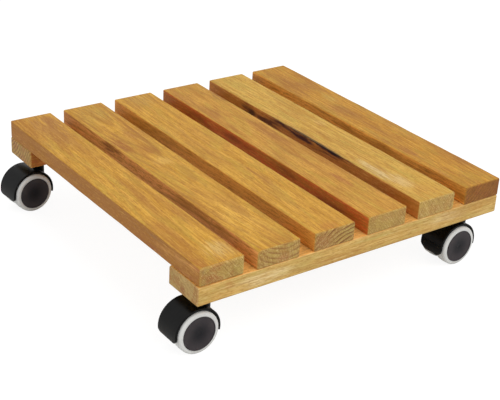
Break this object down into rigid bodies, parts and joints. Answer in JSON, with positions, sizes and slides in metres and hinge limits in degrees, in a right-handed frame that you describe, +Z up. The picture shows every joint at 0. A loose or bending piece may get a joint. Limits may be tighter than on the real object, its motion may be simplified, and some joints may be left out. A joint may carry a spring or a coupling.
{
  "type": "plant pot caddy",
  "caption": "Square slatted hardwood platform on swivelling twin-wheel casters, for rolling a heavy potted plant about.",
  "frame": {"origin": "on the floor under the middle of the deck", "axes": "+Z up, +Y along the slats towards the rear, +X across the slats"},
  "size_m": [0.3271, 0.3002, 0.0755],
  "materials": {
    "slat_wood": "oiled honey-brown hardwood, open grain, satin",
    "bearer_wood": "oiled straw-coloured hardwood, satin",
    "screw_steel": "yellow zinc-plated steel",
    "pin_steel": "bright turned steel",
    "clip_steel": "black phosphated spring steel",
    "socket_plastic": "black moulded nylon",
    "hood_plastic": "black moulded nylon, satin",
    "hub_plastic": "black moulded nylon",
    "cap_plastic": "charcoal moulded plastic, fine matt texture",
    "tyre_rubber": "light grey thermoplastic rubber"
  },
  "bodies": {
    "deck": {"front_bearer": "bearer_wood", "front_bearer_screws": "screw_steel", "front_left_socket": "socket_plastic", "front_left_stem": "pin_steel", "front_right_socket": "socket_plastic", "front_right_stem": "pin_steel", "rear_bearer": "bearer_wood", "rear_bearer_screws": "screw_steel", "rear_left_socket": "socket_plastic", "rear_left_stem": "pin_steel", "rear_right_socket": "socket_plastic", "rear_right_stem": "pin_steel", "slat_1": "slat_wood", "slat_2": "slat_wood", "slat_3": "slat_wood", "slat_4": "slat_wood", "slat_5": "slat_wood", "slat_6": "slat_wood"},
    "front_left_caster": {"front_left_hood": "hood_plastic", "front_left_axle": "pin_steel", "front_left_axle_clips": "clip_steel"},
    "front_left_wheel_a": {"front_left_hub_a": "hub_plastic", "front_left_tyre_a": "tyre_rubber", "front_left_cap_a": "cap_plastic"},
    "front_left_wheel_b": {"front_left_hub_b": "hub_plastic", "front_left_tyre_b": "tyre_rubber", "front_left_cap_b": "cap_plastic"},
    "front_right_caster": {"front_right_hood": "hood_plastic", "front_right_axle": "pin_steel", "front_right_axle_clips": "clip_steel"},
    "front_right_wheel_a": {"front_right_hub_a": "hub_plastic", "front_right_tyre_a": "tyre_rubber", "front_right_cap_a": "cap_plastic"},
    "front_right_wheel_b": {"front_right_hub_b": "hub_plastic", "front_right_tyre_b": "tyre_rubber", "front_right_cap_b": "cap_plastic"},
    "front_right_brake": {"front_right_brake_lever": "hood_plastic"},
    "rear_left_caster": {"rear_left_hood": "hood_plastic", "rear_left_axle": "pin_steel", "rear_left_axle_clips": "clip_steel"},
    "rear_left_wheel_a": {"rear_left_hub_a": "hub_plastic", "rear_left_tyre_a": "tyre_rubber", "rear_left_cap_a": "cap_plastic"},
    "rear_left_wheel_b": {"rear_left_hub_b": "hub_plastic", "rear_left_tyre_b": "tyre_rubber", "rear_left_cap_b": "cap_plastic"},
    "rear_right_caster": {"rear_right_hood": "hood_plastic", "rear_right_axle": "pin_steel", "rear_right_axle_clips": "clip_steel"},
    "rear_right_wheel_a": {"rear_right_hub_a": "hub_plastic", "rear_right_tyre_a": "tyre_rubber", "rear_right_cap_a": "cap_plastic"},
    "rear_right_wheel_b": {"rear_right_hub_b": "hub_plastic", "rear_right_tyre_b": "tyre_rubber", "rear_right_cap_b": "cap_plastic"},
    "rear_right_brake": {"rear_right_brake_lever": "hood_plastic"}
  },
  "joints": [
    {"name": "front_left_swivel", "type": "hinge", "parent": "deck", "child": "front_left_caster", "pos_m": [-0.1297, -0.13075, 0.0445], "axis": [0, 0, 1], "continuous": true},
    {"name": "front_left_wheel_a_spin", "type": "hinge", "parent": "front_left_caster", "child": "front_left_wheel_a", "pos_m": [-0.14235, -0.13075, 0.0175], "axis": [0, -1, 0], "continuous": true},
    {"name": "front_left_wheel_b_spin", "type": "hinge", "parent": "front_left_caster", "child": "front_left_wheel_b", "pos_m": [-0.14235, -0.13075, 0.0175], "axis": [0, -1, 0], "continuous": true},
    {"name": "front_right_swivel", "type": "hinge", "parent": "deck", "child": "front_right_caster", "pos_m": [0.1297, -0.13075, 0.0445], "axis": [0, 0, 1], "continuous": true},
    {"name": "front_right_wheel_a_spin", "type": "hinge", "parent": "front_right_caster", "child": "front_right_wheel_a", "pos_m": [0.11705, -0.13097, 0.0175], "axis": [0.0175, -0.9998, 0], "continuous": true},
    {"name": "front_right_wheel_b_spin", "type": "hinge", "parent": "front_right_caster", "child": "front_right_wheel_b", "pos_m": [0.11705, -0.13097, 0.0175], "axis": [0.0175, -0.9998, 0], "continuous": true},
    {"name": "front_right_brake_press", "type": "hinge", "parent": "front_right_caster", "child": "front_right_brake", "pos_m": [0.11705, -0.13097, 0.0175], "axis": [0.0175, -0.9998, 0], "range_deg": [0, 14]},
    {"name": "rear_left_swivel", "type": "hinge", "parent": "deck", "child": "rear_left_caster", "pos_m": [-0.132, 0.13075, 0.0445], "axis": [0, 0, 1], "continuous": true},
    {"name": "rear_left_wheel_a_spin", "type": "hinge", "parent": "rear_left_caster", "child": "rear_left_wheel_a", "pos_m": [-0.14461, 0.12976, 0.0175], "axis": [0.0785, -0.9969, 0], "continuous": true},
    {"name": "rear_left_wheel_b_spin", "type": "hinge", "parent": "rear_left_caster", "child": "rear_left_wheel_b", "pos_m": [-0.14461, 0.12976, 0.0175], "axis": [0.0785, -0.9969, 0], "continuous": true},
    {"name": "rear_right_swivel", "type": "hinge", "parent": "deck", "child": "rear_right_caster", "pos_m": [0.1297, 0.13075, 0.0445], "axis": [0, 0, 1], "continuous": true},
    {"name": "rear_right_wheel_a_spin", "type": "hinge", "parent": "rear_right_caster", "child": "rear_right_wheel_a", "pos_m": [0.14235, 0.13075, 0.0175], "axis": [0, 1, 0], "continuous": true},
    {"name": "rear_right_wheel_b_spin", "type": "hinge", "parent": "rear_right_caster", "child": "rear_right_wheel_b", "pos_m": [0.14235, 0.13075, 0.0175], "axis": [0, 1, 0], "continuous": true},
    {"name": "rear_right_brake_press", "type": "hinge", "parent": "rear_right_caster", "child": "rear_right_brake", "pos_m": [0.14235, 0.13075, 0.0175], "axis": [0, 1, 0], "range_deg": [0, 14]}
  ]
}
